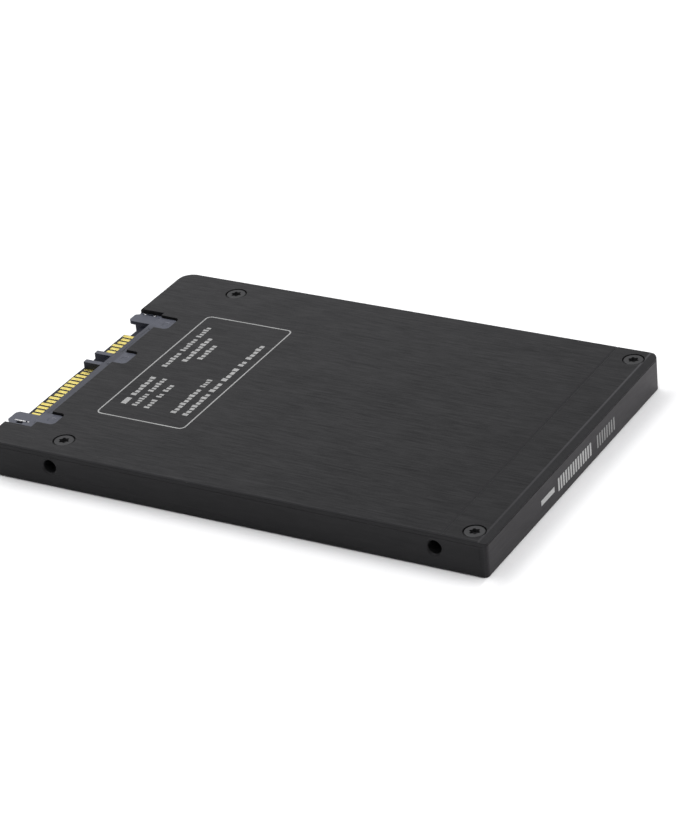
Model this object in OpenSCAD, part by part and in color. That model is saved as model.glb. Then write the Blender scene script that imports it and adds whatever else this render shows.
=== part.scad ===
// Solid state drive, 2.5 inch form factor, 7 mm high, with a 22-contact serial plug.
// Origin: middle of the flat resting face. +X towards the plain front end,
// -X towards the connector end, +Z towards the marked cover plate.
// Name endings: _l length, _w width, _h height, _t thickness, _r radius, _c chamfer, _d depth.

/* [Case] */
// Case length, connector end to front end
case_l = 100.2; // [100:0.05:100.45]
// Case width
case_w = 69.85; // [69.6:0.05:70.1]
// Overall height, resting face to cover face
case_h = 7; // [7:0.1:9.5]
// Thickness of the screwed cover plate
cover_t = 0.95; // [0.9:0.05:1]
// Side wall thickness of the tub
wall_t = 1.6; // [1.2:0.1:1.8]
// Floor thickness of the tub
floor_t = 0.9; // [0.7:0.1:0.9]
// Plan radius of the two corners at the connector end
rear_r = 3; // [2:0.5:3]
// Plan radius of the two corners at the front end
front_r = 1.2; // [0.6:0.1:1.5]
// Chamfer round the cover's top edge
edge_c = 0.3; // [0.2:0.05:0.4]
// Length of the front bevel, measured along the cover
bevel_run = 1.3; // [1:0.05:2]
// Height of the front bevel
bevel_drop = 0.7; // [0.5:0.05:0.85]
// Thickness of the printed markings
ink_t = 0.02; // [0.01:0.01:0.05]

/* [Fixing holes] */
// Distance of the rear side hole from the connector end
hole_rear = 14; // [13.75:0.05:14.25]
// Distance between the two side holes of one side
hole_pitch = 76.6; // [76.4:0.05:76.8]
// Depth of the side holes below the cover face
hole_down = 3; // [2.8:0.1:3.2]
// Radius of the side holes, M3 tapping size
hole_r = 1.25; // [1.2:0.05:1.3]
// Length of the side holes
hole_depth = 3.4; // [3:0.1:3.4]

/* [Cover screws] */
// Head radius of a cover screw
head_r = 1.85; // [1.75:0.05:1.9]
// Radius of the recess each head sits in
recess_r = 2.05; // [2:0.05:2.3]
// Depth of that recess
recess_d = 0.5; // [0.5:0.05:0.55]
// Distance of the rear cover screws from the connector end
rear_screw_x = 14.4; // [14:0.1:15]
// Distance of the rear cover screws from the sides
rear_screw_y = 4.88; // [4.8:0.02:5.2]
// Distance of the front cover screws from the front end
front_screw = 3.3; // [3.2:0.1:3.6]
// Distance of the near (-Y) front cover screw from its side
front_near_y = 2.9; // [2.8:0.05:3.2]
// Distance of the far (+Y) front cover screw from its side
front_far_y = 3.7; // [3:0.05:3.8]

/* [Connector] */
// Offset of the connector's middle from the case's middle, across the case
conn_offset = -4.8; // [-5:0.05:-4.6]
// Spacing of neighbouring contacts
pitch = 1.27; // [1.25:0.01:1.27]
// Width of one contact
contact_w = 0.78; // [0.7:0.02:0.84]
// Depth of the contact face below the cover face
contact_down = 2.15; // [2.05:0.05:2.25]
// How far the plug's guide arms stand out past the case end
arm_out = 0.6; // [0:0.1:0.8]

/* [Board] */
// Circuit board thickness
board_t = 1; // [0.8:0.1:1]
// Distance of the board's front edge from the connector end
board_end = 82; // [81:0.5:90]

/* [Hidden] */
$fn = 48;
overlap = 0.01;
body_l = case_l - ink_t;              // the metal's own length, without the printing
top_z = case_h - ink_t;               // the cover plate's own upper face
seam_z = top_z - cover_t;             // where the cover plate meets the tub
board_top = case_h - 3.6;
board_bot = board_top - board_t;
hole_z = case_h - hole_down;
front_hole_x = hole_rear + hole_pitch;
front_screw_x = case_l - front_screw;
plug_y = case_w / 2 + conn_offset;    // middle of the contact rows, from the -Y side
lock_y = [-20.78, 22.82];             // board locks, from the plug's middle
tail_y = [-21.26, 22.62];             // their tails, down through the board
cover_screw_pts = [
    [rear_screw_x, rear_screw_y], [rear_screw_x, case_w - rear_screw_y],
    [front_screw_x, front_near_y], [front_screw_x, case_w - front_far_y]];
board_screw_pts = [[8.4, 5.1], [8.2, 60.2], [77.5, 5.3], [77.5, case_w - 5.3]];

// ---- helpers ----

// Everything is drawn from the case corner at the connector end, -Y side,
// then moved so that the origin is the middle of the resting face.
module place() translate([-case_l / 2, -case_w / 2, 0]) children();

// The plug's parts are drawn with Y measured from the plug's middle
module place_plug() place() translate([0, plug_y, 0]) children();

// Side 0 leaves things on the -Y side, side 1 mirrors them to the +Y side
module on_side(side) translate([0, side * case_w, 0]) mirror([0, side, 0]) children();

module at_each(points, z = 0) for (p = points) translate([p.x, p.y, z]) children();

// Box between two opposite corners, given in any order
module box(from, to)
    translate([for (i = [0:2]) min(from[i], to[i])])
        cube([for (i = [0:2]) abs(to[i] - from[i])]);

// Box centred on base in plan, standing on base's height
module brick(base, size)
    translate([base.x - size.x / 2, base.y - size.y / 2, base.z]) cube(size);

// Extrudes an X-Z profile from y0 to y1
module along_y(y0, y1)
    translate([0, y1, 0]) rotate([90, 0, 0]) linear_extrude(y1 - y0) children();

// Case outline: radius ra at the connector end, rb at the front end, inset on all sides
module plan(ra, rb, inset = 0) {
    l = body_l - 2 * inset;
    w = case_w - 2 * inset;
    translate([inset, inset]) {
        translate([ra, 0]) square([l - ra - rb, w]);
        translate([0, ra]) square([ra + overlap, w - 2 * ra]);
        translate([l - rb - overlap, rb]) square([rb + overlap, w - 2 * rb]);
        for (y = [ra, w - ra]) translate([ra, y]) circle(r = ra);
        for (y = [rb, w - rb]) translate([l - rb, y]) circle(r = rb);
    }
}

module rounded_rect(from, to, r) {
    size = to - from;
    translate([from.x + r, from.y]) square([size.x - 2 * r, size.y]);
    translate([from.x, from.y + r]) square([size.x, size.y - 2 * r]);
    for (x = [from.x + r, to.x - r], y = [from.y + r, to.y - r]) translate([x, y]) circle(r = r);
}

// Cutter for a 45 degree chamfer along the sides and the connector end at height z
module rim_chamfer(z, chamfer) {
    side = chamfer * sqrt(2);
    for (y = [0, case_w])
        translate([case_l / 2 + rear_r / 2, y, z]) rotate([45, 0, 0])
            cube([case_l - rear_r, side, side], center = true);
    translate([0, case_w / 2, z]) rotate([0, 45, 0])
        cube([side, case_w - 2 * rear_r, side], center = true);
    for (m = [0, 1]) on_side(m) translate([rear_r, rear_r, z])
        intersection() {
            rotate_extrude() translate([rear_r, 0]) rotate(45) square(side, center = true);
            translate([-rear_r - 1, -rear_r - 1, -1]) cube([rear_r + 1, rear_r + 1, 2]);
        }
}

// ---- case ----

cavity_rear_r = 1.8;
cavity_front_r = 1.4;
root_z = 0.2;              // posts, bosses and ribs start here, inside the floor
post_h = seam_z - root_z;
rear_post_r = 2.7;
front_post_r = 2.55;
boss_half = 2.8;           // half length of the bosses inward of the front side holes
standoff_r = 1.9;
rib_x = [85, 97.5];        // floor ribs, between the board and the front wall
countersink = 0.3;
cover_rib_h = 0.6;
cover_rib_t = 0.8;
cover_rib_gap = 0.2;

// Posts and boss of one side, run into its wall; front_y is the front post's place
module side_posts(front_y) {
    translate([rear_screw_x, rear_screw_y, root_z]) cylinder(r = rear_post_r, h = post_h);
    box([rear_screw_x - rear_post_r, 0.6, root_z],
        [rear_screw_x + rear_post_r, rear_screw_y, seam_z]);
    box([front_hole_x - boss_half, 0.6, root_z],
        [front_hole_x + boss_half, hole_depth + 1.2, seam_z]);
    translate([front_screw_x, front_y, root_z]) cylinder(r = front_post_r, h = post_h);
    box([front_screw_x - front_post_r, 0.7, root_z], [case_l - 0.7, front_y, seam_z]);
    box([front_screw_x, 0.7, root_z], [case_l - 0.7, front_y + front_post_r, seam_z]);
}

module case_tub() color([0.17, 0.17, 0.18]) place() difference() {
    union() {
        difference() {
            linear_extrude(seam_z) plan(rear_r, front_r);
            translate([0, 0, floor_t]) linear_extrude(case_h)
                plan(cavity_rear_r, cavity_front_r, wall_t);
        }
        for (m = [0, 1]) on_side(m) side_posts(m == 0 ? front_near_y : front_far_y);
        at_each(board_screw_pts, root_z) cylinder(r = standoff_r, h = board_bot - root_z);
        for (y = [16, 28, 42, 54]) box([rib_x[0], y, root_z], [rib_x[1], y + 1, floor_t + 0.8]);
    }
    // opening for the plug in the rear wall
    box([-1, 7, floor_t], [wall_t + 1, 53.5, case_h]);
    // side fixing holes, with a small countersink
    for (x = [hole_rear, front_hole_x], m = [0, 1])
        on_side(m) translate([x, 0, hole_z]) rotate([-90, 0, 0]) {
            translate([0, 0, -1]) cylinder(r = hole_r, h = hole_depth + 1);
            translate([0, 0, -overlap])
                cylinder(r1 = hole_r + countersink, r2 = hole_r, h = countersink);
        }
    // tapped holes of the cover screws and the board screws
    at_each(cover_screw_pts, seam_z - 3.2) cylinder(r = 1, h = 4);
    at_each(board_screw_pts, 0.75) cylinder(r = 0.95, h = 4);
    // chamfers round the resting face, smaller at the front end
    rim_chamfer(0, 0.25);
    translate([body_l, case_w / 2, 0]) rotate([0, 45, 0])
        cube([0.14, case_w + 2, 0.14], center = true);
}

// Outline of the cover's cutout over the plug
module plug_cutout() {
    // open to the connector end: x, y, length, width
    for (q = [[-1, 7, 6.95, 2.6], [-1, 9, 7.5, 43.4], [-1, 52, 6.3, 1.4]])
        translate([q[0], q[1]]) square([q[2], q[3]]);
    // rounded bays over the plug's three blocks: far x, y from, y to
    for (q = [[9.4, 8.9, 13.08], [9.3, plug_y + 3, plug_y + 7.95],
              [9.4, plug_y + 17.6, plug_y + 22.2]])
        rounded_rect([3, q[1]], [q[0], q[2]], 0.9);
}

module label_cover() color([0.2, 0.2, 0.21]) place() difference() {
    rib_in = wall_t + cover_rib_gap;
    rib_far = rib_in + cover_rib_t;
    rib_z = seam_z - cover_rib_h;
    union() {
        translate([0, 0, seam_z]) linear_extrude(cover_t) plan(rear_r, front_r);
        // locating ribs inside the side walls and the front wall
        for (y = [rib_in, case_w - rib_far])
            box([20, y, rib_z], [85, y + cover_rib_t, seam_z + overlap]);
        box([case_l - rib_far, 9, rib_z], [case_l - rib_in, case_w - 9, seam_z + overlap]);
    }
    translate([0, 0, seam_z - 1]) linear_extrude(3) plug_cutout();
    // head recesses and clearance holes
    at_each(cover_screw_pts, top_z - recess_d) cylinder(r = recess_r, h = 2);
    at_each(cover_screw_pts, seam_z - 1) cylinder(r = 1.1, h = 3);
    rim_chamfer(top_z, edge_c);
    // front bevel
    along_y(-1, case_w + 1)
        polygon([[body_l - bevel_run, top_z], [body_l, top_z - bevel_drop],
            [body_l + 2, top_z - bevel_drop * (1 + 2 / bevel_run)], [body_l + 2, top_z + 1],
            [body_l - bevel_run, top_z + 1]]);
    // shadow line: a small step along the bottom of the plate's front edge
    box([body_l - 0.14, -1, seam_z - 1], [body_l + 1, case_w + 1, seam_z + 0.1]);
    // shallow V groove across the plate, on the -X side of the front screws
    along_y(-1, case_w + 1)
        polygon([[case_l - 8.4, top_z + overlap], [case_l - 8.13, top_z - 0.15],
            [case_l - 7.86, top_z + overlap]]);
}

// Low flat head with a six-lobe socket, on an M2 shank
module cover_screws() color([0.33, 0.33, 0.35]) place()
    at_each(cover_screw_pts, top_z - recess_d) difference() {
        union() {
            cylinder(r = head_r, h = 0.34);
            translate([0, 0, 0.34]) cylinder(r1 = head_r, r2 = head_r - 0.12, h = 0.1);
            translate([0, 0, -0.42]) cylinder(r = 1.05, h = 0.5);
            translate([0, 0, -3.1]) cylinder(r = 0.95, h = 3.2);
            translate([0, 0, -3.4]) cylinder(r1 = 0.65, r2 = 0.95, h = 0.3);
        }
        translate([0, 0, -0.3]) six_lobe_socket();
    }

module six_lobe_socket() {
    core_r = 0.72;
    cylinder(r = core_r, h = 3);
    for (a = [0:60:300]) rotate(a) translate([core_r, 0, 0]) cylinder(r = 0.26, h = 3, $fn = 24);
}

// ---- printed markings: a rounded frame and rows of plain blocks, no lettering ----

frame_from = [14.15, 15.45];
frame_to = [32.7, 55.1];
frame_r = 1.2;
line_w = 0.27;
block_gap = 0.3;
block_h = 1.1;
// each group: x of its row, start and end along Y, number of blocks
groups = [
    [17.2, 20.1, 22.4, 1], [17.2, 23.4, 30.6, 7],
    [19.5, 20.1, 24.6, 6], [19.5, 25.6, 30.7, 6],
    [22.1, 20, 23.2, 4], [22.1, 24.2, 25.5, 2], [22.1, 26.5, 29, 3],
    [16.8, 34.7, 40.2, 6], [16.8, 41.2, 46, 6], [16.8, 46.9, 50.9, 5],
    [19.3, 37.7, 47.2, 9], [21.6, 39.4, 45, 6],
    [27.7, 20.1, 29.3, 9], [27.7, 30.3, 33.2, 4],
    [30.2, 20, 28.3, 8], [30.2, 29.3, 32.6, 3], [30.2, 33.6, 38.6, 4],
    [30.2, 39.6, 41.4, 2], [30.2, 42.4, 47.9, 5]];

// Count blocks between y0 and y1 on one base line, every third one full height
// and the rest lower by the factor low
module blocks(y0, y1, count, gap, height, low = 0.78) {
    w = (y1 - y0 - (count - 1) * gap) / count;
    for (i = [0:count - 1]) {
        h = height * (i % 3 == 0 ? 1 : low);
        translate([height / 2 - h, y0 + i * (w + gap)]) square([h, w]);
    }
}

module cover_marking() color([0.62, 0.62, 0.6]) place()
    translate([0, 0, top_z]) linear_extrude(ink_t) {
        line = [line_w, line_w];
        difference() {
            rounded_rect(frame_from, frame_to, frame_r);
            rounded_rect(frame_from + line, frame_to - line, frame_r - line_w);
        }
        for (q = groups) translate([q[0], 0]) blocks(q[1], q[2], q[3], block_gap, block_h);
    }

// Marking of the front end face: one dash and two rows of plain strokes
module front_marking() color([0.7, 0.7, 0.7]) place()
    translate([body_l, 0, 0]) rotate([0, 90, 0]) translate([-2.85, 0]) linear_extrude(ink_t) {
        blocks(20.8, 25.9, count = 1, gap = 0, height = 1);
        blocks(27.4, 40.7, count = 14, gap = 0.42, height = 2.5, low = 1);
        blocks(43.1, 50.4, count = 8, gap = 0.48, height = 2.5, low = 1);
    }

// ---- board ----

board_side = 2.3;          // board's side edges, from the case sides
board_rear = 5.2;          // board's edge behind the plug
ear_x = [2, 5.3];          // ears either side of the plug
post_gap = 3.2;            // notch round each rear post, from the post's middle

module circuit_board() color([0.05, 0.2, 0.1]) place() difference() {
    union() {
        box([board_rear, board_side, board_bot], [board_end, case_w - board_side, board_top]);
        box([ear_x[0], board_side, board_bot], [ear_x[1], plug_y + tail_y[0] + 0.1, board_top]);
        box([ear_x[0], plug_y + tail_y[1] - 0.1, board_bot],
            [ear_x[1], case_w - board_side, board_top]);
    }
    for (m = [0, 1]) on_side(m)
        box([rear_screw_x - post_gap, 0, 0],
            [rear_screw_x + post_gap, rear_screw_y + post_gap, case_h]);
    at_each(board_screw_pts) cylinder(r = 1.15, h = case_h);
    // slots for the plug's board locks
    for (y = tail_y) box([2.15, plug_y + y - 0.25, 0], [3.35, plug_y + y + 0.25, case_h]);
}

// Domed-edge head with a cross slot
module board_screws() color([0.62, 0.62, 0.64]) place()
    at_each(board_screw_pts, board_top) difference() {
        union() {
            cylinder(r = 1.75, h = 0.8);
            translate([0, 0, 0.8]) cylinder(r1 = 1.75, r2 = 1.3, h = 0.35);
            translate([0, 0, -2.3]) cylinder(r = 0.9, h = 2.4);
        }
        translate([0, 0, 0.35]) {
            for (a = [0:90:270]) rotate(a) cube([1.9, 0.42, 3]);
            cylinder(r = 0.45, h = 3, $fn = 24);
        }
    }

// ---- plug ----

contact_z = case_h - contact_down;    // contact face of both tongues
tongue_z = contact_z - 1.2;           // underside of both tongues
house_z = case_h - 0.8;               // top of the plug's moulding
block_top = house_z + 0.3;            // top of its three blocks
foot_z = board_top + 0.02;            // what rests on the board or its pads
joint_x = 4.6;                        // tongues, keys and arms end here, inside the bar
power_tongue = [-16.6, 3.45];
signal_tongue = [6.05, 16.45];
row_end = 12.5 * pitch;               // outermost contact of either row
last_signal_y = row_end - 6 * pitch;
// X spans of the teeth on each board lock
tooth_spans = [[[0.7, 3.05], [3.45, 3.8]], [[0.9, 1.6], [3.15, 3.65]]];

// Contacts of three lengths: the ones that mate first reach nearest the tip
function power_start(i) =
    (i == 3 || i == 11) ? 0.38
    : (i == 2 || i == 5 || (i > 7 && i < 13)) ? 0.48 : 0.83;
function signal_start(i) = i % 3 == 0 ? 0.45 : 0.83;

// each contact: x of its tip, y of its middle
power_row = [for (i = [0:14]) [power_start(i), -row_end + i * pitch]];
signal_row = [for (i = [0:6]) [signal_start(i), row_end - i * pitch]];

// Gold plated landing pads under the contact tails
module board_pads() color([0.85, 0.68, 0.3]) place_plug()
    for (q = concat(power_row, signal_row)) brick([7.8, q.y, board_top], [2.2, 0.8, 0.02]);

module tongue(span) along_y(span[0], span[1])
    polygon([[0.1, tongue_z + 0.25], [0.35, tongue_z], [joint_x, tongue_z],
        [joint_x, contact_z], [0.32, contact_z], [0.1, contact_z - 0.22]]);

// Guide arm between its outer and inner side: thin lip at the tip with its
// outer corner cut back, deeper root behind it
module guide_arm(outer, inner, root, cut) {
    d = sign(inner - outer);
    translate([0, 0, house_z - 0.75]) linear_extrude(0.75)
        polygon([[-arm_out, outer + d * cut], [-arm_out, inner - d * 0.6],
            [0.05 - arm_out, inner - d * 0.5], [0.5 - arm_out, inner],
            [joint_x, inner], [joint_x, outer], [cut - arm_out, outer]]);
    box([0.9, root, 3.1], [joint_x, inner, house_z - 0.5]);
    box([0.9, outer, foot_z], [joint_x, inner, house_z - 0.5]);
}

// Round-cornered block over the board, a little higher than the bar
module block(y0, y1)
    translate([0, 0, board_top]) linear_extrude(block_top - board_top)
        rounded_rect([4.9, y0], [9.1, y1], 0.75);

module connector_housing() color([0.3, 0.32, 0.37]) place_plug() difference() {
    slot_half = contact_w / 2 + 0.02;
    channel_half = contact_w / 2 + 0.03;
    union() {
        // bar across the plug, and its skirt on the -X side of the board's edge
        box([4.18, -21.1, board_top], [5.95, 22.2, house_z]);
        box([4.18, -21.1, board_top - 0.9], [5, 22.45, board_top + overlap]);
        block(-21.1, -17.16);
        block(3.09, 7.84);
        block(17.69, 22.08);
        // outer flanges
        box([3.6, -22.9, foot_z], [5.75, -21, house_z]);
        box([0.15, 22.4, foot_z], [5.1, 23.12, house_z]);
        // tongues and the step between each tongue and its arm
        tongue(power_tongue);
        tongue(signal_tongue);
        box([1.4, -18, tongue_z], [joint_x, -16.5, contact_z]);
        box([1.7, 16.4, tongue_z], [joint_x, 19.7, contact_z]);
        // keys along the facing edges of the tongues
        box([0.42, 2.35, contact_z - 0.5], [joint_x, power_tongue[1], house_z]);
        box([0.48, signal_tongue[0], contact_z - 0.5], [joint_x, 7.1, house_z]);
        guide_arm(outer = -21.95, inner = -17.95, root = -21.1, cut = 0.9);
        guide_arm(outer = 22.45, inner = 19.6, root = 22.45, cut = 0.5);
    }
    // contact slots
    for (q = concat(power_row, signal_row))
        box([q.x - 0.02, q.y - slot_half, contact_z - 0.18],
            [6.4, q.y + slot_half, contact_z + 0.05]);
    // channel for the one contact tail that runs under the middle block
    box([6.2, last_signal_y - channel_half, board_top - 0.1],
        [9.2, last_signal_y + channel_half, contact_z + 0.05]);
    // slots for the board locks, the -Y one with a window beside it
    for (i = [0, 1]) {
        box([0.68, lock_y[i] - 0.17, 2.3], [3.82, lock_y[i] + 0.17, house_z + 1]);
        box([2.15, tail_y[i] - 0.16, 2.3], [3.35, lock_y[i], board_top + 0.34]);
    }
    box([1.45, -21.68, house_z - 1.3], [2.75, lock_y[0], house_z + 1]);
    // shallow sink marks on the three blocks
    for (y = [-19, 5.7, 20.1]) translate([7.6, y, block_top - 0.12]) cylinder(r = 0.8, h = 1);
}

// One contact: flat blade on the tongue, then a foot that stands on its pad
module contact_pin(tip_x, y) along_y(y - contact_w / 2, y + contact_w / 2) {
    blade_z = contact_z + 0.03;
    foot_top = foot_z + 0.2;
    polygon([[tip_x, blade_z - 0.08], [tip_x + 0.08, blade_z], [6.95, blade_z],
        [6.95, foot_top], [8.4, foot_top], [8.4, foot_z], [6.75, foot_z],
        [6.75, blade_z - 0.2], [tip_x, blade_z - 0.2]]);
}

module power_contacts() color([0.9, 0.72, 0.3]) place_plug()
    for (q = power_row) contact_pin(q.x, q.y);

module signal_contacts() color([0.9, 0.72, 0.3]) place_plug()
    for (q = signal_row) contact_pin(q.x, q.y);

module connector_board_locks() color([0.8, 0.8, 0.82]) place_plug()
    for (i = [0, 1]) {
        lock = lock_y[i];
        tail = tail_y[i];
        strip_z = board_top + 0.04;
        // strip that joins blade and tail, then the tail and the upright blade
        box([2.2, min(tail, lock) - 0.12, strip_z],
            [3.3, max(tail, lock) + 0.12, board_top + 0.3]);
        box([2.2, tail - 0.12, board_bot - 0.4], [3.3, tail + 0.12, board_top + 0.1]);
        box([0.7, lock - 0.15, strip_z], [3.8, lock + 0.15, house_z - 0.4]);
        // teeth on the blade's upper edge
        for (span = tooth_spans[i])
            box([span[0], lock - 0.15, house_z - 0.41], [span[1], lock + 0.15, house_z + 0.03]);
    }

// ---- chips ----

controller_at = [28, 36];
flash_pts = [[50, 17], [50, case_w - 17], [66, 17], [66, case_w - 17]];
flash_l = 12;
flash_w = 18;
flash_h = 1.15;
regulator_pts = [[21, 50.5], [21, 56], [28, 56]];
regulator_w = 1.6;
firmware_at = [39.5, 46];
firmware_w = 3.9;

// Point on the board's upper face, raised by lift
function on_board(p, lift = 0) = [p.x, p.y, board_top + lift];

// Chip with a round dimple of radius dot near one corner
module chip(base, size, dot = 0.5) difference() {
    brick(base, size);
    translate(base + [3 * dot - size.x / 2, 3 * dot - size.y / 2, size.z - 0.06])
        cylinder(r = dot, h = 1, $fn = 24);
}

module controller_chip() color([0.06, 0.06, 0.07]) place() union() {
    brick(on_board(controller_at, 0.3), [14, 14, 0.95]);
    brick(on_board(controller_at), [13, 13, 0.31]);
}

module memory_cache_chip() color([0.07, 0.07, 0.08]) place()
    chip(on_board([50, case_w / 2]), [8, 12, 1.05]);

module flash_chips_upper() color([0.07, 0.07, 0.08]) place()
    for (p = flash_pts) chip(on_board(p), [flash_l, flash_w, flash_h]);

module flash_chips_lower() color([0.07, 0.07, 0.08]) place()
    for (p = flash_pts) brick([p.x, p.y, board_bot - flash_h], [flash_l, flash_w, flash_h]);

module power_management_chip() color([0.08, 0.08, 0.09]) place()
    chip(on_board([15.5, 16.5]), [5, 5, 0.85], dot = 0.3);

module voltage_regulators() color([0.08, 0.08, 0.09]) place()
    for (p = regulator_pts) chip(on_board(p, 0.08), [2.9, regulator_w, 1.05], dot = 0.15);

module firmware_chip() color([0.08, 0.08, 0.09]) place()
    chip(on_board(firmware_at, 0.1), [4.9, firmware_w, 1.45], dot = 0.25);

// Parts of a bent lead: start and end out from the package, bottom and top over the board
lead_parts = [[0, 0.6, 0.45, 0.6], [0.42, 0.6, 0, 0.6], [0.42, 1.05, 0, 0.15]];

// Lead in the middle x of its width, leaving package side y towards dir (-1 or 1)
module lead(x, y, dir) for (q = lead_parts)
    box([x - 0.18, y + dir * q[0], board_top + q[2]], [x + 0.18, y + dir * q[1], board_top + q[3]]);

module chip_leads() color([0.75, 0.75, 0.77]) place() {
    for (i = [0:3], s = [-1, 1])
        lead(firmware_at.x + (i - 1.5) * 1.27, firmware_at.y + s * firmware_w / 2, s);
    // regulators: three leads on the -Y side, two on the +Y side
    for (p = regulator_pts) {
        for (i = [-1, 0, 1]) lead(p.x + i * 0.95, p.y - regulator_w / 2, -1);
        for (i = [-1, 1]) lead(p.x + i * 0.95, p.y + regulator_w / 2, 1);
    }
}

// ---- other parts on the board ----

polymer_x = 77.5;
polymer_y = [for (i = [0:5]) 11 + i * 8.5];   // start of each polymer capacitor
polymer_end = 0.6;                            // its end plates
polymer_body = 5.5;                           // its body between them
diode_at = [27.2, 19.8];
body_share = 0.28;         // half the body of a two-ended part, as a share of its length

// Two-ended parts: x, y, length along X, width, height
fuse = [12.2, 12.5, 3.2, 1.6, 0.6];
capacitors = concat(
    [for (i = [0:5], y = [26.6, 45.4]) [19.6 + i * 3.2, y, 1.6, 0.8, 0.8]],
    [for (i = [0:3], y = [9.5, 50.4]) [42.1, y + i * 3.4, 1.6, 0.8, 0.8]],
    [for (i = [0:2]) [26 + i * 2.8, 14, 2, 1.25, 1.1]]);
resistors = concat(
    [for (i = [0:6]) [11.4, plug_y - 15.5 + i * 2.54, 1, 0.5, 0.35]],
    [for (i = [0:4]) [11.4, plug_y + 9.2 + i * 1.9, 1, 0.5, 0.35]],
    [for (i = [0:5]) [37.8, 31.5 + i * 1.6, 1, 0.5, 0.35]],
    [for (i = [0:4]) [33 + i * 2.2, 52, 1, 0.5, 0.35]]);

// Slice of a two-ended part, from and to as shares of its length
module slice(part, from, to, inset = 0)
    box([part.x + from * part[2], part.y - part[3] / 2 + inset, board_top + inset],
        [part.x + to * part[2], part.y + part[3] / 2 - inset, board_top + part[4] - inset]);

module part_body(part) slice(part, -body_share, body_share, inset = 0.02);

module part_ends(part) for (s = [-1, 1]) slice(part, s * body_share, s * 0.5);

module power_inductors() color([0.3, 0.3, 0.32]) place()
    for (p = [[21.5, 12.5], [21.5, 18], [15.3, 23.2]]) {
        brick(on_board(p), [4, 4, 0.35]);
        translate(on_board(p, 0.3)) cylinder(r = 1.75, h = 1.35);
        brick(on_board(p, 1.6), [4, 4, 0.35]);
    }

module polymer_capacitors() color([0.85, 0.62, 0.2]) place()
    for (y = polymer_y)
        translate([polymer_x - 1.9, y + polymer_end, board_top]) cube([3.8, polymer_body, 1.85]);

module ceramic_capacitors() color([0.6, 0.45, 0.32]) place()
    for (part = capacitors) part_body(part);

module chip_resistors() color([0.1, 0.1, 0.1]) place()
    for (part = resistors) part_body(part);

module component_terminals() color([0.78, 0.78, 0.8]) place() {
    for (part = concat(capacitors, resistors, [fuse])) part_ends(part);
    for (y = polymer_y, step = [0, polymer_end + polymer_body])
        translate([polymer_x - 1.6, y + step, board_top]) cube([3.2, polymer_end, 1.2]);
    for (s = [-1, 1]) brick(on_board(diode_at + [s * 2.45, 0]), [0.7, 1.6, 1.1]);
}

module crystal_can() color([0.8, 0.8, 0.78]) place() union() {
    brick(on_board([40, 27.35]), [3.2, 2.5, 0.35]);
    brick(on_board([40, 27.35], 0.3), [2.8, 2.1, 0.5]);
}

module input_fuse() color([0.85, 0.85, 0.8]) place() part_body(fuse);

module surge_diode() color([0.07, 0.07, 0.07]) place()
    brick(on_board(diode_at, 0.1), [4.2, 2.6, 1.9]);

// ---- pads between chips and cover, and film on the floor ----

module controller_thermal_pad() color([0.45, 0.55, 0.7]) place()
    brick(on_board(controller_at, 1.25), [12, 12, seam_z - board_top - 1.25]);

module flash_thermal_pads() color([0.45, 0.55, 0.7]) place()
    for (p = flash_pts)
        box([p.x - 5, p.y - 5, board_top + flash_h], [p.x + 5, p.y + 7.5, seam_z]);

module insulating_sheet() color([0.08, 0.08, 0.08]) place()
    box([19, 9, floor_t], [board_end - 1, case_w - 9, floor_t + 0.15]);

case_tub();
label_cover();
cover_screws();
cover_marking();
front_marking();
circuit_board();
board_screws();
board_pads();
connector_housing();
power_contacts();
signal_contacts();
connector_board_locks();
controller_chip();
memory_cache_chip();
flash_chips_upper();
flash_chips_lower();
power_management_chip();
voltage_regulators();
firmware_chip();
chip_leads();
power_inductors();
polymer_capacitors();
ceramic_capacitors();
chip_resistors();
component_terminals();
crystal_can();
input_fuse();
surge_diode();
controller_thermal_pad();
flash_thermal_pads();
insulating_sheet();
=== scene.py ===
"""A boxed solid-state drive: brushed case, screws and marking, plug, board, chips and pads.

The drive lies flat on the floor, Z up. Its long sides face -Y and +Y, the front end face is
towards +X and the plug is at the -X end. Meshes are in metres; sizes below are in millimetres
unless a comment says otherwise.
"""
import math
import bpy
import bmesh
from mathutils import Matrix, Vector

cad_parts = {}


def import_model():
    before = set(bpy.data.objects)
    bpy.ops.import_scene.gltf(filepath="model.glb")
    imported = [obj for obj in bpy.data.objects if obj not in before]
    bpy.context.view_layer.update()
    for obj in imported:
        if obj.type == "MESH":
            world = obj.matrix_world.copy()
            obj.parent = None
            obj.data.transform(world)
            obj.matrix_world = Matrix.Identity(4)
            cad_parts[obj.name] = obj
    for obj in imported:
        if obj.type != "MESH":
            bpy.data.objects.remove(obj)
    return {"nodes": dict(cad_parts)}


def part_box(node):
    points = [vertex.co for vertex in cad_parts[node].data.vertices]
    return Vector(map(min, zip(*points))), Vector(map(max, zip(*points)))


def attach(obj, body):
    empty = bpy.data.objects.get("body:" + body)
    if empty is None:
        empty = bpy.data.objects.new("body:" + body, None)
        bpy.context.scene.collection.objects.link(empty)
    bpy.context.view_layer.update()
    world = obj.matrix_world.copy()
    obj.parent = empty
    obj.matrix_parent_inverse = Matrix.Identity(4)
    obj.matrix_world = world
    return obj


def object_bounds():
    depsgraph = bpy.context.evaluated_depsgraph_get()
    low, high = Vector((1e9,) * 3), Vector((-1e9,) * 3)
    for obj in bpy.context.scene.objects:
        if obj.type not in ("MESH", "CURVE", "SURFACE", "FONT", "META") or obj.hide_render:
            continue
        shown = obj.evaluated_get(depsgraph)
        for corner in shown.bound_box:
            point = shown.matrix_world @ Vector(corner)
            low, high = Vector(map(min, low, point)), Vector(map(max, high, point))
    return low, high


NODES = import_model()["nodes"]
CAD_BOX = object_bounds()
MM = 0.001

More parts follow.
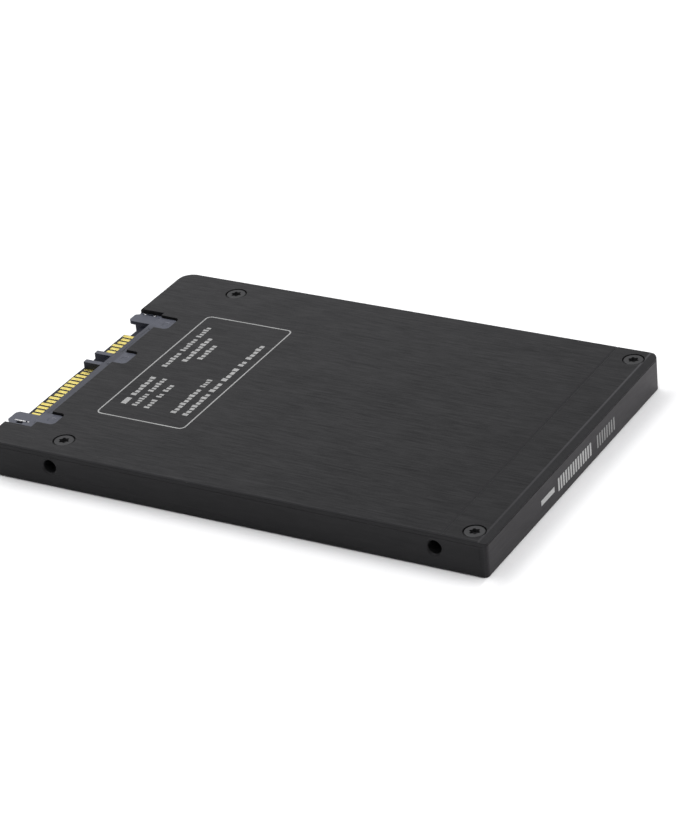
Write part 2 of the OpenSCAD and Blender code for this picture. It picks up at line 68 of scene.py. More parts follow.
# ---------------------------------------------------------------- driving places
CASE_TOP = CAD_BOX[1].z / MM
CASE_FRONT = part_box("case_tub")[1].x / MM
COVER_LIP_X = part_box("label_cover")[1].x / MM - 1.3
BOARD_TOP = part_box("circuit_board")[1].z / MM
CAPACITOR_START_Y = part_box("polymer_capacitors")[0].y / MM
CAPACITOR_PITCH = 8.5
PLUG_BAR_X, PLUG_BAR_Y = -45.0, -4.2

SCREW_HEAD_RADIUS = 1.85
SCREW_REACH_X = 2.1  # vertices this close in X belong to the same column of screws
SCREW_LOW, SCREW_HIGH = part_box("cover_screws")
SCREW_BOTTOM = SCREW_LOW.z / MM


def find_screws():
    """The (x, y) centres of the cover screws, two in each of two columns."""
    centres = []
    for x in (SCREW_LOW.x / MM + SCREW_HEAD_RADIUS, SCREW_HIGH.x / MM - SCREW_HEAD_RADIUS):
        ys = [v.co.y / MM for v in NODES["cover_screws"].data.vertices
              if abs(v.co.x / MM - x) < SCREW_REACH_X]
        centres += [(x, min(ys) + SCREW_HEAD_RADIUS), (x, max(ys) - SCREW_HEAD_RADIUS)]
    return centres


SCREWS = find_screws()

# ---------------------------------------------------------------- shader helpers
FALL = (1.0, 0.0)         # runs a range from full down to nothing
NOISE_RANGE = (0.3, 0.7)  # where most of a noise's values lie
INPUTS = {
    "color": "Base Color", "metal": "Metallic", "rough": "Roughness", "ior": "IOR",
    "spec": "Specular IOR Level", "aniso": "Anisotropic", "tangent": "Tangent",
    "normal": "Normal", "coat": "Coat Weight", "coat_rough": "Coat Roughness",
    "sss": "Subsurface Weight", "sheen": "Sheen Weight", "tint": "Specular Tint",
    "emit": "Emission Color", "glow": "Emission Strength",
}


class Value:
    """A node output; arithmetic on it adds Math nodes."""

    def __init__(self, look, socket):
        self.look = look
        self.socket = socket

    def __add__(self, other): return self.look.math("ADD", self, other)
    def __radd__(self, other): return self.look.math("ADD", other, self)
    def __sub__(self, other): return self.look.math("SUBTRACT", self, other)
    def __rsub__(self, other): return self.look.math("SUBTRACT", other, self)
    def __mul__(self, other): return self.look.math("MULTIPLY", self, other)
    def __pow__(self, other): return self.look.math("POWER", self, other)
    def __abs__(self): return self.look.math("ABSOLUTE", self)

    def smooth(self, over, to=(0.0, 1.0)):
        """Ease between the two values of `to` while this one crosses `over`."""
        return self.look.map_range(self, over, to, "SMOOTHSTEP")

    def linear(self, over=NOISE_RANGE, to=(0.0, 1.0)):
        """Run straight between the two values of `to` while this one crosses `over`."""
        return self.look.map_range(self, over, to, "LINEAR")

    def between(self, at_zero, at_one):
        return self.linear(over=(0.0, 1.0), to=(at_zero, at_one))


class Look:
    """A material under construction. Its position is in millimetres."""

    def __init__(self, name):
        self.material = bpy.data.materials.new(name)
        self.material.use_nodes = True
        self.tree = self.material.node_tree
        self.tree.nodes.clear()
        self.output = self.tree.nodes.new("ShaderNodeOutputMaterial")
        self.principled = self.tree.nodes.new("ShaderNodeBsdfPrincipled")
        self.shader = Value(self, self.principled.outputs["BSDF"])
        self.feed(self.shader, self.output.inputs["Surface"])
        coordinates = self.tree.nodes.new("ShaderNodeTexCoord")
        self.normal = Value(self, coordinates.outputs["Normal"])
        metres = Value(self, coordinates.outputs["Object"])
        self.position = self.stretch(metres, (1000, 1000, 1000))

    def feed(self, value, socket):
        """Link a Value, or set a constant; colours of three numbers get an alpha of 1."""
        if isinstance(value, Value):
            self.tree.links.new(value.socket, socket)
        elif isinstance(value, tuple) and len(value) < len(socket.default_value):
            socket.default_value = value + (1.0,)
        else:
            socket.default_value = value

    def add(self, kind, inputs, output=0, **settings):
        """Add a node, fill its inputs and return one of its outputs."""
        node = self.tree.nodes.new("ShaderNode" + kind)
        for name, value in settings.items():
            setattr(node, name, value)
        for key, value in inputs.items():
            self.feed(value, node.inputs[key])
        return Value(self, node.outputs[output])

    def surface(self, **values):
        """Fill the Principled inputs and return the finished material."""
        for name, value in values.items():
            self.feed(value, self.principled.inputs[INPUTS[name]])
        return self.material

    def axes(self, vector):
        node = self.tree.nodes.new("ShaderNodeSeparateXYZ")
        self.feed(vector, node.inputs[0])
        return [Value(self, output) for output in node.outputs]

    def math(self, operation, first, second=0.0, clamp=False):
        inputs = {0: first, 1: second, 2: 0.0}
        return self.add("Math", inputs, operation=operation, use_clamp=clamp)

    def map_range(self, value, over, to, interpolation):
        inputs = {"Value": value, "From Min": over[0], "From Max": over[1],
                  "To Min": to[0], "To Max": to[1]}
        return self.add("MapRange", inputs, "Result", interpolation_type=interpolation)

    def vector(self, x, y, z):
        return self.add("CombineXYZ", {0: x, 1: y, 2: z})

    def stretch(self, vector, factors):
        return self.add("VectorMath", {0: vector, 1: factors}, operation="MULTIPLY")

    def mix_vectors(self, base, to, by):
        return self.add("Mix", {0: by, 4: base, 5: to}, output=1, data_type="VECTOR")

    def mix(self, base, to, by):
        """Blend the colour `base` towards `to`."""
        return self.add("Mix", {0: by, 6: base, 7: to}, output=2, data_type="RGBA")

    def noise(self, scale=1, detail=2, rough=0.5, at=None):
        """Noise with `scale` cells per millimetre, one number or one for each axis."""
        factors = scale if isinstance(scale, tuple) else (scale,) * 3
        vector = self.stretch(at or self.position, factors)
        inputs = {"Vector": vector, "Scale": 1.0, "Detail": detail, "Roughness": rough}
        return self.add("TexNoise", inputs)

    def cell_distance(self, at, scale, randomness=1.0):
        inputs = {"Vector": at, "Scale": scale, "Randomness": randomness}
        return self.add("TexVoronoi", inputs, "Distance", feature="F1")

    def bump(self, height, depth, strength, normal=None):
        """Relief of `depth` millimetres, laid over `normal` if one is given."""
        inputs = {"Strength": strength, "Distance": depth * MM, "Height": height}
        if normal is not None:
            inputs["Normal"] = normal
        return self.add("Bump", inputs)

    def rounded(self, radius):
        """The normal as if edges were rounded to `radius` millimetres."""
        return self.add("Bevel", {"Radius": radius * MM}, samples=6)

    def edge(self, rounded):
        """0 on flats, rising towards 1 at edges."""
        flat = self.add("NewGeometry", {}, "True Normal")
        inputs = {0: rounded, 1: flat}
        return 1.0 - self.add("VectorMath", inputs, "Value", operation="DOT_PRODUCT")


# ---------------------------------------------------------------- materials
def brushed_case():
    m = Look("anodised_brushed_aluminium")
    x, y, z = m.axes(m.position)
    nx, ny, nz = m.axes(m.normal)
    end = abs(nx).smooth(over=(0.75, 0.85))
    side = abs(ny).smooth(over=(0.75, 0.85))
    flat = abs(nz).smooth(over=(0.89, 0.96))

    def grain(along):
        """Coordinates drawn out along X on plates and long sides, along Y on the ends."""
        return m.mix_vectors(m.vector(x * along, y, z), m.vector(y * along, z, x), by=end)

    long_grain = grain(along=0.06)
    coarse = m.noise(scale=(1.0, 1.7, 1.7), detail=4, rough=0.62, at=grain(along=0.24))
    fine = m.noise(scale=(3.2, 6.5, 6.5), detail=3, rough=0.65, at=long_grain)
    hair = m.noise(scale=(1.6, 16.0, 16.0), detail=1, at=long_grain)
    cloud = m.noise(scale=(0.10, 0.15, 0.15), detail=3, rough=0.6)
    grit = m.noise(scale=4.5, rough=0.6)
    streaks = (coarse * 0.27 + fine * 0.27) + (hair * 0.16 + (cloud * 0.16 + grit * 0.14))
    streaks = 0.5 + (streaks - 0.5) * flat.between(0.42, 1.0)
    streak_range = (0.40, 0.60)

    # a few long bright scratches of the brushing
    scratch = m.noise(scale=(0.9, 8.0, 8.0), detail=0, at=long_grain)
    scratch = scratch.smooth(over=(0.70, 0.82)) * flat
    rounded = m.rounded(radius=0.10)
    patches = m.noise(scale=0.9, detail=4, rough=0.7)
    # edges lighter: partly worn bare metal, partly a painted glint along the edges
    wear_and_glint = m.edge(rounded).smooth(over=(0.02, 0.22)) \
        * patches.smooth(over=(0.35, 0.62), to=(0.25, 1.0))

    # painted highlight line where the front bevel meets the top, brighter towards +Y; it runs
    # slightly askew
    lip_x = y.linear(over=(-35.0, 35.0), to=(COVER_LIP_X + 0.06, COVER_LIP_X - 0.04))
    lip_highlight = abs(x - lip_x).smooth(over=(0.07, 0.24), to=FALL) \
        * z.smooth(over=(CASE_TOP - 0.3, CASE_TOP - 0.2))
    lip_highlight = lip_highlight * y.linear(over=(-30.0, 30.0), to=(0.45, 1.0))
    front_bevel = nx.smooth(over=(0.30, 0.38)) * nx.smooth(over=(0.6, 0.75), to=FALL)

    # fine dust, a few specks
    speck = m.cell_distance(m.position, scale=0.55).smooth(over=(0.03, 0.055), to=FALL) \
        * m.noise(scale=0.4, detail=1).smooth(over=(0.5, 0.6))

    base = m.mix((0.0068, 0.0069, 0.0073), to=(0.0150, 0.0149, 0.0155),
                 by=streaks.linear(over=streak_range))
    base = m.mix(base, to=(0.034, 0.034, 0.034), by=scratch * 0.4)
    base = m.mix(base, to=(0.10, 0.10, 0.105), by=wear_and_glint * 0.55)
    # painted highlight along the front lip
    base = m.mix(base, to=(0.048, 0.047, 0.050), by=lip_highlight * 0.8)
    # painted shade: the long side walls are made darker
    base = m.mix(base, to=(0.002, 0.002, 0.002), by=side * 0.22)
    base = m.mix(base, to=(0.16, 0.16, 0.15), by=speck * 0.3)

    # painted sheen and shade: the gloss drifts slowly with position over the plates, along the
    # sides and over the end faces, and is raised on the front bevel
    painted_light_drift = 0.70 + (x * -0.0031 + y * 0.0026)
    side_painted_sheen = x.linear(over=(10.0, 42.0), to=(0.68, 0.84)) \
        * z.linear(over=(4.2, 6.0), to=(1.0, 1.14))
    end_painted_sheen = y.linear(over=(-35.0, 35.0), to=(0.98, 1.38)) \
        * z.linear(over=(0.5, 5.5), to=(1.17, 0.97))
    gloss_and_painted_sheen = streaks.linear(over=streak_range, to=(0.44, 0.62)) * flat.between(1.0, painted_light_drift)
    gloss_and_painted_sheen = gloss_and_painted_sheen * side.between(1.0, side_painted_sheen)
    gloss_and_painted_sheen = gloss_and_painted_sheen * front_bevel.between(1.0, 1.12)
    gloss_and_painted_sheen = gloss_and_painted_sheen * end.between(1.0, end_painted_sheen)

    height = fine * 0.5 + hair * 0.4 + grit * 0.3 + coarse * 0.5
    return m.surface(
        color=base, metal=0.06, ior=1.30, spec=gloss_and_painted_sheen + lip_highlight * 0.22, aniso=0.4,
        rough=streaks.linear(over=streak_range, to=(0.50, 0.38)) + speck * 0.3,
        tint=m.mix((1.0, 0.985, 1.035), to=(1.0, 0.905, 1.0), by=end),
        tangent=m.mix_vectors((0.0, 1.0, 0.0), to=(0.0, 0.0, 1.0), by=end),
        normal=m.bump(height, depth=0.018, strength=0.55, normal=rounded))


def blackened_steel():
    m = Look("blackened_screw_steel")
    x, y, z = m.axes(m.position)
    nz = m.axes(m.normal)[2]
    nearest = None
    for centre_x, centre_y in SCREWS:
        radius = m.math("SQRT", (x - centre_x) ** 2.0 + (y - centre_y) ** 2.0)
        nearest = m.math("MINIMUM", nearest, radius) if nearest else radius
    # turning rings round each screw
    turned = m.noise(rough=0.6, at=m.vector(nearest * 9.0, nz * 2.0, z * 3.0))
    grit = m.noise(scale=9, detail=3, rough=0.6)
    rounded = m.rounded(radius=0.07)
    rub = m.edge(rounded).smooth(over=(0.03, 0.3)) * grit.smooth(over=(0.3, 0.65), to=(0.4, 1.0))
    base = m.mix((0.015, 0.015, 0.016), to=(0.034, 0.034, 0.036), by=turned)
    base = m.mix(base, to=(0.15, 0.15, 0.155), by=rub * 0.5)
    return m.surface(
        color=base, metal=0.30, ior=1.4, rough=grit.linear(to=(0.36, 0.52)),
        normal=m.bump(turned * 0.7 + grit * 0.3, depth=0.012, strength=0.6, normal=rounded))


def print_ink(name, worn, full, thin=0.0):
    m = Look(name)
    x, y, z = m.axes(m.position)
    grain = m.noise(scale=6, detail=3, rough=0.7)
    gaps = m.noise(scale=(2, 9, 9), rough=0.6, at=m.vector(x * 0.06, y, z))
    cover = (grain * 0.5 + gaps * 0.5).smooth(over=(0.40, 0.60))
    # the group of strokes furthest towards +Y can be printed thinner
    faint = y.smooth(over=(6.9, 7.9)) * thin
    return m.surface(
        color=m.mix(m.mix(worn, to=full, by=cover), to=(0.0, 0.0, 0.0), by=faint),
        rough=grain.linear(to=(0.5, 0.72)),
        normal=m.bump(grain + gaps, depth=0.006, strength=0.4))


def plug_plastic():
    m = Look("plug_moulding")
    x, y, z = m.axes(m.position)
    _, ny, nz = m.axes(m.normal)
    grain = m.noise(scale=3.5, detail=4, rough=0.65)
    flow = m.noise(scale=(0.5, 0.25, 0.5))
    rounded = m.rounded(radius=0.09)
    worn_edge = m.edge(rounded).smooth(over=(0.02, 0.25))
    # painted shade on the -Y faces below the raised blocks
    near = ny.smooth(over=(-0.8, -0.9)) * z.smooth(over=(6.10, 6.22), to=FALL)
    # painted light on the -Y sides of the three raised blocks, lifting the shade there
    block_side_light = (ny.smooth(over=(-0.5, -0.8)) * z.smooth(over=(6.18, 6.24))) \
        * x.smooth(over=(-45.0, -44.8))
    # painted shade on the low upward faces of the tongue, between and beyond the contacts
    recess_shade = z.smooth(over=(4.95, 5.15), to=FALL) * nz.smooth(over=(0.4, 0.7))
    # the bar behind the contacts is a little duller than the arms
    bar = abs(x - PLUG_BAR_X).smooth(over=(0.9, 1.3), to=FALL) \
        * abs(y - PLUG_BAR_Y).smooth(over=(17.0, 19.0), to=FALL)

    base = m.mix((0.034, 0.037, 0.053), to=(0.062, 0.066, 0.087), by=grain.linear())
    base = m.mix(base, to=(0.080, 0.085, 0.108), by=flow * 0.35)
    base = m.mix(base, to=(0.15, 0.155, 0.185), by=worn_edge * 0.35)
    base = m.mix(base, to=(0.007, 0.009, 0.019), by=near * 0.70)
    base = m.mix(base, to=(0.27, 0.28, 0.33), by=block_side_light * 0.85)
    base = m.mix(base, to=(0.010, 0.010, 0.014), by=recess_shade * 0.75)
    base = m.mix(base, to=(0.012, 0.012, 0.015), by=bar * 0.35)
    shadowed = m.math("MAXIMUM", near, recess_shade)
    return m.surface(
        color=base, rough=grain.linear(to=(0.38, 0.55)), ior=1.5,
        spec=shadowed.between(0.42, 0.12) * bar.between(1.0, 0.85),
        normal=m.bump(grain, depth=0.018, strength=0.5, normal=rounded))


def gold():
    m = Look("gold_plate")
    wipe = m.noise(scale=(0.8, 9, 9), detail=3, rough=0.6)
    spot = m.noise(scale=1.7, detail=3, rough=0.6)
    base = m.mix((0.87, 0.69, 0.16), to=(1.0, 0.875, 0.28), by=spot.linear(over=(0.35, 0.65)))
    base = m.mix(base, to=(1.0, 0.95, 0.50), by=wipe.smooth(over=(0.55, 0.7)) * 0.45)
    return m.surface(
        color=base, metal=1.0, rough=wipe.linear(to=(0.22, 0.40)),
        normal=m.bump(wipe, depth=0.006, strength=0.5, normal=m.rounded(radius=0.05)))


def tin(name, dark=(0.50, 0.50, 0.51), light=(0.72, 0.72, 0.73), rough=(0.28, 0.48)):
    m = Look(name)
    blotch = m.noise(scale=2.5, detail=4, rough=0.65)
    grain = m.noise(scale=9, rough=0.6)
    return m.surface(
        color=m.mix(dark, to=light, by=blotch.linear()), metal=1.0, rough=grain.linear(to=rough),
        normal=m.bump(blotch + grain, depth=0.012, strength=0.5, normal=m.rounded(radius=0.04)))


def board():
    m = Look("solder_masked_board")
    x, y, z = m.axes(m.position)
    nz = m.axes(m.normal)[2]
    tracks_per_mm = 1.55
    wobble = m.math("ROUND", m.noise(scale=0.2, detail=1) * 9.0) * 0.35

    def tracks(across, along):
        """Parallel tracks, each broken into runs along its lane."""
        place = m.math("FRACT", across * tracks_per_mm + wobble)
        lane = m.math("FLOOR", across * tracks_per_mm + wobble)
        runs = m.noise(detail=1, at=m.vector(lane * 3.7, along * 0.12, 0.0))
        track = place.smooth(over=(0.30, 0.36)) * place.smooth(over=(0.64, 0.70), to=FALL)
        return track * runs.smooth(over=(0.42, 0.44))

    # a coarse noise picks which way the tracks run
    pick = m.noise(scale=0.11).smooth(over=(0.49, 0.51))
    track = m.math("ADD", tracks(y, x) * (1.0 - pick), tracks(x, y) * pick, clamp=True)
    from_via = m.cell_distance(m.vector(x, y, 0.0), scale=0.42, randomness=0.85)
    ring = from_via.smooth(over=(0.11, 0.13), to=FALL)
    hole = from_via.smooth(over=(0.05, 0.06), to=FALL)
    face = abs(nz).smooth(over=(0.7, 0.8))
    weave = m.noise(scale=4)

    mask = m.mix((0.0045, 0.040, 0.019), to=(0.008, 0.056, 0.027), by=weave.linear())
    mask = m.mix(mask, to=(0.018, 0.118, 0.050), by=track * 0.8)
    mask = m.mix(mask, to=(0.42, 0.30, 0.10), by=ring)
    mask = m.mix(mask, to=(0.004, 0.006, 0.004), by=hole)
    # the cut edge shows the board's layers
    layers = m.math("FRACT", z * 6.0).smooth(over=(0.35, 0.55))
    rim = m.mix((0.17, 0.13, 0.05), to=(0.27, 0.22, 0.11), by=layers)
    metal = (ring * face) * (1.0 - hole)
    height = track * 0.6 + (ring * 0.8 - hole * 1.6) + weave * 0.15
    return m.surface(
        color=m.mix(rim, to=mask, by=face), metal=metal * 0.9,
        rough=m.mix((0.75,) * 3, to=(0.26,) * 3, by=face), coat=face * 0.3, coat_rough=0.12,
        normal=m.bump(height, depth=0.03, strength=0.6, normal=m.rounded(radius=0.05)))


def chip_resin():
    m = Look("chip_moulding")
    grain = m.noise(scale=12, rough=0.6)
    blotch = m.noise(scale=0.35, detail=3)
    rounded = m.rounded(radius=0.06)
    base = m.mix((0.010, 0.010, 0.011), to=(0.024, 0.024, 0.026),
                 by=(grain * 0.5 + blotch * 0.5).linear(over=(0.35, 0.65)))
    base = m.mix(base, to=(0.07, 0.07, 0.075),
                 by=m.edge(rounded).smooth(over=(0.02, 0.3)) * 0.3)
    return m.surface(
        color=base, rough=grain.linear(to=(0.42, 0.62)),
        normal=m.bump(grain, depth=0.02, strength=0.55, normal=rounded))


def controller_resin():
    """Black moulding on a green base layer."""
    m = Look("controller_moulding")
    z = m.axes(m.position)[2]
    grain = m.noise(scale=12, rough=0.6)
    low = z.smooth(over=(BOARD_TOP + 0.28, BOARD_TOP + 0.33), to=FALL)
    black = m.mix((0.010, 0.010, 0.011), to=(0.024, 0.024, 0.026), by=grain)
    return m.surface(
        color=m.mix(black, to=(0.010, 0.075, 0.035), by=low), rough=grain.linear(to=(0.42, 0.6)),
        normal=m.bump(grain, depth=0.02, strength=0.5, normal=m.rounded(radius=0.06)))


def ferrite():
    """Grey ferrite ends with a copper winding between them."""
    m = Look("ferrite_and_winding")
    z = m.axes(m.position)[2]
    nz = m.axes(m.normal)[2]
    band = z.smooth(over=(BOARD_TOP + 0.36, BOARD_TOP + 0.38)) \
        * z.smooth(over=(BOARD_TOP + 1.57, BOARD_TOP + 1.59), to=FALL)
    wound = abs(nz).smooth(over=(0.3, 0.4), to=FALL) * band
    wires = m.math("PINGPONG", z, 0.09).smooth(over=(0.0, 0.06))
    grain = m.noise(scale=8, detail=4, rough=0.7)
    grey = m.mix((0.030, 0.030, 0.032), to=(0.075, 0.075, 0.078), by=grain.linear())
    copper = m.mix((0.16, 0.045, 0.015), to=(0.70, 0.26, 0.10), by=wires)
    return m.surface(
        color=m.mix(grey, to=copper, by=wound), metal=wound * 0.9,
        rough=m.mix((0.68,) * 3, to=(0.30,) * 3, by=wound),
        normal=m.bump(grain * 0.3 + (wound * wires) * 1.5, depth=0.04, strength=0.7))


def tantalum():
    m = Look("capacitor_resin")
    y = m.axes(m.position)[1]
    nz = m.axes(m.normal)[2]
    grain = m.noise(scale=7, detail=3, rough=0.65)
    # a darker polarity band at the -Y end of each body
    place = m.math("FRACT", m.math("DIVIDE", y - CAPACITOR_START_Y, CAPACITOR_PITCH))
    band = place.smooth(over=(0.06, 0.065)) * place.smooth(over=(0.145, 0.15), to=FALL)
    top = nz.smooth(over=(0.7, 0.8))
    base = m.mix((0.55, 0.27, 0.035), to=(0.72, 0.41, 0.075), by=grain.linear())
    return m.surface(
        color=m.mix(base, to=(0.20, 0.075, 0.018), by=band * top),
        rough=grain.linear(to=(0.42, 0.6)),
        normal=m.bump(grain, depth=0.02, strength=0.5, normal=m.rounded(radius=0.09)))


def fired(name, dark, light, top=None, rough=0.5):
    """Fired ceramic, with a coloured top face if one is given."""
    m = Look(name)
    grain = m.noise(scale=14, detail=3, rough=0.65)
    base = m.mix(dark, to=light, by=grain.linear())
    if top is not None:
        base = m.mix(base, to=top, by=m.axes(m.normal)[2].smooth(over=(0.7, 0.8)))
    return m.surface(
        color=base, rough=grain.linear(to=(rough - 0.1, rough + 0.12)),
        normal=m.bump(grain, depth=0.012, strength=0.5, normal=m.rounded(radius=0.05)))


def silicone():
    m = Look("heat_pad_silicone")
    x, y, _ = m.axes(m.position)
    grain = m.noise(scale=5, detail=4, rough=0.7)
    # a square net of threads under the surface
    threads_x, threads_y = [m.math("PINGPONG", axis, 0.3).smooth(over=(0.0, 0.09), to=FALL)
                            for axis in (x, y)]
    net = m.math("MAXIMUM", threads_x, threads_y)
    base = m.mix((0.13, 0.21, 0.33), to=(0.20, 0.30, 0.44), by=grain.linear())
    return m.surface(
        color=m.mix(base, to=(0.28, 0.38, 0.52), by=net * 0.25), rough=0.72, sss=0.05, sheen=0.1,
        normal=m.bump(grain * 0.5 + net, depth=0.035, strength=0.5,
                      normal=m.rounded(radius=0.15)))


def film():
    m = Look("polyester_film")
    ripple = m.noise(scale=0.3, detail=3, rough=0.55)
    return m.surface(
        color=m.mix((0.008, 0.008, 0.009), to=(0.02, 0.02, 0.021), by=ripple),
        rough=ripple.linear(to=(0.16, 0.34)),
        normal=m.bump(ripple, depth=0.12, strength=0.5))


# ---------------------------------------------------------------- dressing the CAD pieces
case_metal = brushed_case()
tinned = tin("tin_plate")
chip = chip_resin()
LOOKS = {
    "case_tub": case_metal,
    "label_cover": case_metal,
    "cover_screws": blackened_steel(),
    "cover_marking": print_ink("plate_ink", worn=(0.21, 0.21, 0.21), full=(0.36, 0.36, 0.355)),
    "front_marking": print_ink("front_ink", worn=(0.42, 0.42, 0.42), full=(0.60, 0.60, 0.59),
                               thin=0.45),
    "connector_housing": plug_plastic(),
    "circuit_board": board(),
    "board_screws": tin("nickel_screw", dark=(0.42, 0.42, 0.43), light=(0.60, 0.60, 0.61),
                        rough=(0.22, 0.4)),
    "power_contacts": gold(),
    "connector_board_locks": tin("lock_plate", dark=(0.62, 0.62, 0.63), light=(0.8, 0.8, 0.8),
                                 rough=(0.2, 0.38)),
    "controller_chip": controller_resin(),
    "power_inductors": ferrite(),
    "polymer_capacitors": tantalum(),
    "ceramic_capacitors": fired("capacitor_ceramic", dark=(0.26, 0.16, 0.09),
                                light=(0.40, 0.27, 0.17)),
    "chip_resistors": fired("resistor_ceramic", dark=(0.55, 0.54, 0.50),
                            light=(0.70, 0.69, 0.66), top=(0.016, 0.016, 0.018), rough=0.4),
    "input_fuse": fired("fuse_ceramic", dark=(0.55, 0.54, 0.49), light=(0.74, 0.73, 0.68)),
    "controller_thermal_pad": silicone(),
    "insulating_sheet": film(),
}
for piece in ("memory_cache_chip", "flash_chips_upper", "flash_chips_lower",
              "power_management_chip", "voltage_regulators", "firmware_chip", "surge_diode"):
    LOOKS[piece] = chip
for piece in ("chip_leads", "component_terminals", "crystal_can"):
    LOOKS[piece] = tinned
LOOKS["signal_contacts"] = LOOKS["board_pads"] = LOOKS["power_contacts"]
LOOKS["flash_thermal_pads"] = LOOKS["controller_thermal_pad"]

# piece: (width of its broken edges, segments)
BEVELS = {
    "case_tub": (0.07, 2), "label_cover": (0.05, 2), "cover_screws": (0.04, 2),
    "connector_housing": (0.08, 2), "power_contacts": (0.03, 1), "signal_contacts": (0.03, 1),
    "connector_board_locks": (0.04, 1), "circuit_board": (0.04, 1), "board_screws": (0.05, 2),
    "controller_chip": (0.05, 2), "memory_cache_chip": (0.05, 2),
    "flash_chips_upper": (0.05, 2), "flash_chips_lower": (0.05, 2),
    "power_management_chip": (0.05, 2), "voltage_regulators": (0.05, 2),
    "firmware_chip": (0.06, 2), "surge_diode": (0.08, 2), "polymer_capacitors": (0.12, 2),
    "ceramic_capacitors": (0.06, 2), "chip_resistors": (0.03, 1),
    "component_terminals": (0.04, 1), "crystal_can": (0.08, 2), "input_fuse": (0.05, 1),
    "power_inductors": (0.08, 2), "controller_thermal_pad": (0.2, 3),
    "flash_thermal_pads": (0.2, 3), "chip_leads": (0.03, 1),
}


def dress(name, piece):
    """Give a piece its material, joined vertices, broken edges and even shading."""
    piece.data.materials.clear()
    piece.data.materials.append(LOOKS[name])
    for polygon in piece.data.polygons:
        polygon.material_index = 0
    weld = piece.modifiers.new("join", "WELD")
    weld.merge_threshold = 0.000002  # metres
    if name in BEVELS:
        width, segments = BEVELS[name]
        bevel = piece.modifiers.new("break_edges", "BEVEL")
        bevel.width = width * MM
        bevel.segments = segments
        bevel.limit_method = "ANGLE"
        bevel.angle_limit = math.radians(22)
        bevel.use_clamp_overlap = False
        bevel.miter_outer = "MITER_ARC"
        bevel.harden_normals = False
    normals = piece.modifiers.new("normals", "WEIGHTED_NORMAL")
    normals.keep_sharp = True
    normals.weight = 50


for piece_name, piece_object in NODES.items():
    dress(piece_name, piece_object)

# ---------------------------------------------------------------- screw threads
THREAD_BOTTOM = SCREW_BOTTOM + 0.5
THREAD_TOP = SCREW_BOTTOM + 2.7
THREAD_ROOT_RADIUS = 0.90
THREAD_CREST_RADIUS = 0.985
THREAD_PITCH = 0.4
CREST_HALF_WIDTH = 0.03
STEPS_PER_TURN = 28
RUNOUT_STEPS = STEPS_PER_TURN * 0.6  # over which the ridge thins at each end


def screw_threads():
    """A closed helical ridge round each shank, thinned to nothing at both ends."""
    verts, faces = [], []
    steps = int(STEPS_PER_TURN * ((THREAD_TOP - THREAD_BOTTOM) / THREAD_PITCH))
    for centre_x, centre_y in SCREWS:
        first = len(verts)
        for i in range(steps + 1):
            angle = 2 * math.pi * i / STEPS_PER_TURN
            z = THREAD_BOTTOM + THREAD_PITCH * i / STEPS_PER_TURN
            full = min(1.0, i / RUNOUT_STEPS, (steps - i) / RUNOUT_STEPS)
            root = THREAD_PITCH * (0.10 + 0.30 * full)
            depth = THREAD_CREST_RADIUS - THREAD_ROOT_RADIUS
            crest = THREAD_ROOT_RADIUS + depth * max(full, 0.05)
            for radius, rise in ((THREAD_ROOT_RADIUS, -root), (crest, -CREST_HALF_WIDTH),
                                 (crest, CREST_HALF_WIDTH), (THREAD_ROOT_RADIUS, root)):
                verts.append(((centre_x + radius * math.cos(angle)) * MM,
                              (centre_y + radius * math.sin(angle)) * MM, (z + rise) * MM))
        last = first + 4 * steps
        for here in range(first, last, 4):
            for j in range(4):
                k = (j + 1) % 4
                faces.append((here + j, here + 4 + j, here + 4 + k, here + k))
        faces.append((first, first + 1, first + 2, first + 3))
        faces.append((last + 3, last + 2, last + 1, last))
    mesh = bpy.data.meshes.new("cover_screw_threads")
    mesh.from_pydata(verts, [], faces)
    bm = bmesh.new()
    bm.from_mesh(mesh)
    bmesh.ops.recalc_face_normals(bm, faces=bm.faces)
    bm.to_mesh(mesh)
    bm.free()
    mesh.materials.append(LOOKS["cover_screws"])
    threads = bpy.data.objects.new("cover_screw_threads", mesh)
    bpy.context.scene.collection.objects.link(threads)
    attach(threads, "screws")


# ---------------------------------------------------------------- stage (metres)
def floor_material():
    m = Look("pale_floor")
    x, y, _ = m.axes(m.position)
    # painted light: the floor glows at the foot of the front end face to lift the shadow there,
    # and a band further out is darkened as painted shadow
    out = x - CASE_FRONT
    across = abs(y).smooth(over=(35.0, 40.0), to=FALL)
    foot_glow = (out.smooth(over=(-0.4, 0.1)) * out.smooth(over=(0.3, 3.6), to=FALL)) * across
    painted_floor_shadow = (out.smooth(over=(0.8, 2.8)) * out.smooth(over=(3.4, 9.0), to=FALL)) * across
    base = m.mix((0.90, 0.90, 0.905), to=(0.93, 0.93, 0.93), by=m.noise(scale=0.02, detail=3))
    m.surface(color=m.mix(base, to=(0.0, 0.0, 0.0), by=painted_floor_shadow * 0.045), rough=0.8, spec=0.1,
              emit=(1.0, 1.0, 1.0), glow=foot_glow * 0.15)
    # clear from below, and for the very short rays under the drive, so that its resting
    # face can be looked at
    back = m.add("NewGeometry", {}, "Backfacing")
    near = m.add("LightPath", {}, "Ray Length").smooth(over=(0.0001, 0.00012), to=FALL)
    clear = m.add("BsdfTransparent", {})
    one_sided = m.add("MixShader", {0: m.math("MAXIMUM", back, near), 1: m.shader, 2: clear})
    m.feed(one_sided, m.output.inputs["Surface"])
    return m.material


def floor():
    half = 6.0
    material = floor_material()
    mesh = bpy.data.meshes.new("floor")
    corners = [(-half, -half, 0), (half, -half, 0), (half, half, 0), (-half, half, 0)]
    mesh.from_pydata(corners, [], [(0, 1, 2, 3)])
    mesh.materials.append(material)
    plane = bpy.data.objects.new("floor", mesh)
    plane.location.z = -0.00002  # just clear of the resting face
    bpy.context.scene.collection.objects.link(plane)


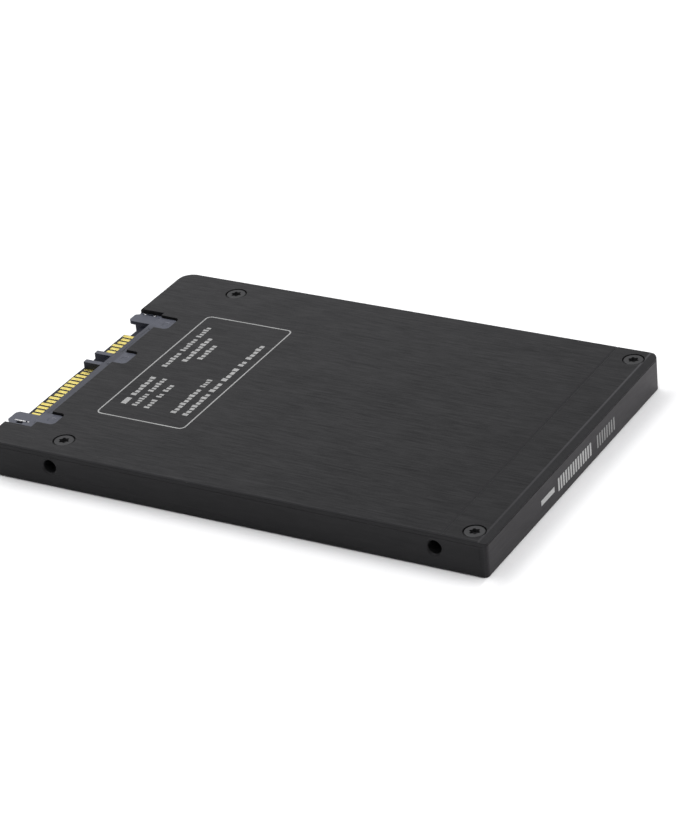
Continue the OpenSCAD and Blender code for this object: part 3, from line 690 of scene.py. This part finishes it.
def overhead_light():
    """A soft rectangle above the plug end, aimed at the origin."""
    light = bpy.data.lights.new("overhead", "AREA")
    light.shape = "RECTANGLE"
    light.size, light.size_y = 0.8, 0.6
    light.energy = 4.6
    lamp = bpy.data.objects.new("overhead", light)
    place = Vector((-0.50, 0.12, 1.0))
    lamp.location = place
    lamp.rotation_euler = (Vector((0, 0, 0)) - place).to_track_quat("-Z", "Y").to_euler()
    bpy.context.scene.collection.objects.link(lamp)


# (direction's Z, brightness)
DOME = [(0.0, 0.19), (0.26, 0.24), (0.47, 0.215), (0.64, 0.45), (0.85, 0.92), (1.0, 0.97)]
DOME_TILT = (-0.20, 0.42, 0.0)  # brighter this way, behind the drive as the camera sees it
DOME_STRENGTH = 1.75
DOME_BLUE = 1.01


def studio_dome():
    """A world that is dim near the horizon and bright above."""
    world = bpy.data.worlds.new("studio")
    bpy.context.scene.world = world
    world.use_nodes = True
    nodes, link = world.node_tree.nodes, world.node_tree.links.new
    background = nodes["Background"]
    direction = nodes.new("ShaderNodeTexCoord").outputs["Generated"]

    split = nodes.new("ShaderNodeSeparateXYZ")
    link(direction, split.inputs[0])
    ramp = nodes.new("ShaderNodeValToRGB")
    stops = ramp.color_ramp.elements
    ramp.color_ramp.interpolation = "B_SPLINE"
    while len(stops) < len(DOME):
        stops.new(0.5)
    for stop, (height, grey) in zip(stops, DOME):
        stop.position = height
        stop.color = (grey, grey, grey * DOME_BLUE, 1)
    link(split.outputs[2], ramp.inputs[0])
    link(ramp.outputs[0], background.inputs["Color"])

    tilt = nodes.new("ShaderNodeVectorMath")
    tilt.operation = "DOT_PRODUCT"
    link(direction, tilt.inputs[0])
    tilt.inputs[1].default_value = DOME_TILT
    strength = tilt.outputs["Value"]
    for operation, constant in (("ADD", 1.0), ("MULTIPLY", DOME_STRENGTH)):
        node = nodes.new("ShaderNodeMath")
        node.operation = operation
        link(strength, node.inputs[0])
        node.inputs[1].default_value = constant
        strength = node.outputs[0]
    link(strength, background.inputs["Strength"])


def camera():
    """Looks down at the front end face and the -Y side."""
    lens = bpy.data.cameras.new("camera")
    lens.sensor_width = 36.0
    lens.lens = 135.0
    lens.clip_start = 0.01
    body = bpy.data.objects.new("camera", lens)
    bpy.context.scene.collection.objects.link(body)
    place = (0.26304, -0.42013, 0.27436)
    right = Vector((0.87309, 0.47989, -0.08618)).normalized()
    forward = Vector((-0.45804, 0.74674, -0.48227)).normalized()
    right = (right - forward * right.dot(forward)).normalized()
    up = right.cross(forward).normalized()
    rows = [(right[i], up[i], -forward[i], place[i]) for i in range(3)]
    body.matrix_world = Matrix(rows + [(0, 0, 0, 1)])
    bpy.context.scene.camera = body


screw_threads()
floor()
overhead_light()
studio_dome()
camera()
bpy.context.scene.view_settings.view_transform = "Standard"
bpy.context.scene.view_settings.look = "None"

bpy.context.view_layer.update()
